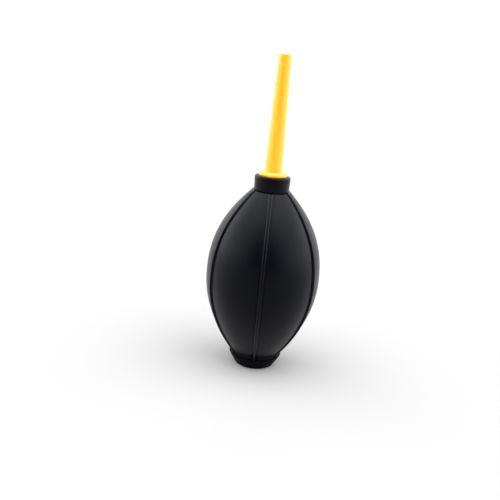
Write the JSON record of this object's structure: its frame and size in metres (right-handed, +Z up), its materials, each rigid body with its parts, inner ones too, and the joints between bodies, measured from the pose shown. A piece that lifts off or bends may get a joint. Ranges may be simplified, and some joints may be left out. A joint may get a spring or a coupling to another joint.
{
  "type": "dust blower bulb",
  "caption": "Squeezable ribbed rubber bulb on a small foot, with a long tapered push-in plastic nozzle on top and a one-way air inlet valve in its base, for blowing dust off small parts.",
  "frame": {"origin": "centre of the underside of the foot, on the bulb's axis", "axes": "+Z up along the bulb's axis, from foot to nozzle tip; -Y is the front, where a rib runs up the middle; +X is the right-hand side panel, seen from the front"},
  "size_m": [0.0566, 0.0582, 0.1544],
  "materials": {
    "black_rubber": "satin moulded rubber",
    "yellow_plastic": "glossy, slightly translucent",
    "dark_plastic": "moulded, semi-matte",
    "valve_rubber": "matte",
    "stainless_steel": "bright"
  },
  "bodies": {
    "bulb": {"bulb_shell": "black_rubber", "inlet_valve_body": "dark_plastic", "valve_cage": "dark_plastic", "dust_screen": "stainless_steel", "screen_snap_ring": "stainless_steel"},
    "left_wall": {"bulb_left_wall": "black_rubber"},
    "right_wall": {"bulb_right_wall": "black_rubber"},
    "nozzle": {"nozzle": "yellow_plastic"},
    "valve_disc": {"inlet_valve_disc": "valve_rubber"}
  },
  "joints": [
    {"name": "bulb_squeeze", "type": "slide", "parent": "bulb", "child": "left_wall", "axis": [1, 0, 0], "range_m": [0, 0.012], "stiffness_N_per_m": 1200},
    {"name": "bulb_squeeze_right", "type": "slide", "parent": "bulb", "child": "right_wall", "axis": [-1, 0, 0], "range_m": [0, 0.012], "stiffness_N_per_m": 1200},
    {"name": "nozzle_pull", "type": "slide", "parent": "bulb", "child": "nozzle", "axis": [0, 0, 1], "range_m": [0, 0.016]},
    {"name": "valve_lift", "type": "slide", "parent": "bulb", "child": "valve_disc", "axis": [0, 0, 1], "range_m": [0, 0.0012]}
  ],
  "couplings": [
    {"joint": "bulb_squeeze_right", "follows": "bulb_squeeze", "ratio": 1}
  ]
}
